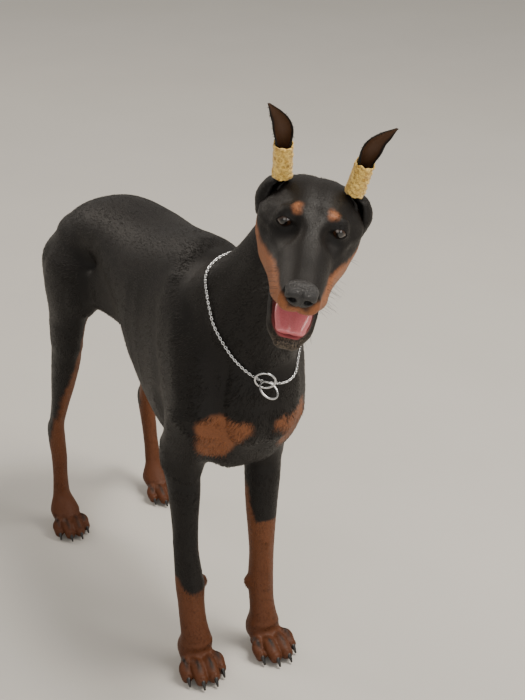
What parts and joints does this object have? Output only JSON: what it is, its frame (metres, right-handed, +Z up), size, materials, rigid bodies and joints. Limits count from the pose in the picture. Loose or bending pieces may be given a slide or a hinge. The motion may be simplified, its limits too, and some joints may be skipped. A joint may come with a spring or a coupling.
{
  "type": "standing dog model",
  "caption": "Life-size still model of a standing black and rust dog with taped upright ears and a chain collar.",
  "frame": {"origin": "on the floor, under the middle of the model's bounding box", "axes": "+Z up; the body faces -Y, so +X is the dog's left side"},
  "size_m": [0.2536, 0.913, 0.9256],
  "materials": {
    "coat_black": "short flat black coat with a soft sheen",
    "coat_rust": "short flat rust coat",
    "ear_tape": "crinkled golden wrap tape",
    "eye": "wet dark brown eye",
    "nose_leather": "pebbled damp nose",
    "tongue": "wet pink tongue",
    "collar_steel": "polished steel"
  },
  "bodies": {
    "root": {"torso": "coat_black", "tail": "coat_black", "neck": "coat_black", "head": "coat_black", "lower_jaw": "coat_rust", "foreleg_right": "coat_black", "forepaw_right": "coat_rust", "hindleg_right": "coat_black", "hindpaw_right": "coat_rust", "ear_right": "coat_black", "foreleg_left": "coat_black", "forepaw_left": "coat_rust", "hindleg_left": "coat_black", "hindpaw_left": "coat_rust", "ear_left": "coat_black", "ear_tape_right": "ear_tape", "ear_tape_left": "ear_tape", "eye_right": "eye", "eye_left": "eye", "nose": "nose_leather", "tongue": "tongue", "collar_chain": "collar_steel", "collar_ring_upper": "collar_steel", "collar_ring_lower": "collar_steel"}
  },
  "joints": []
}
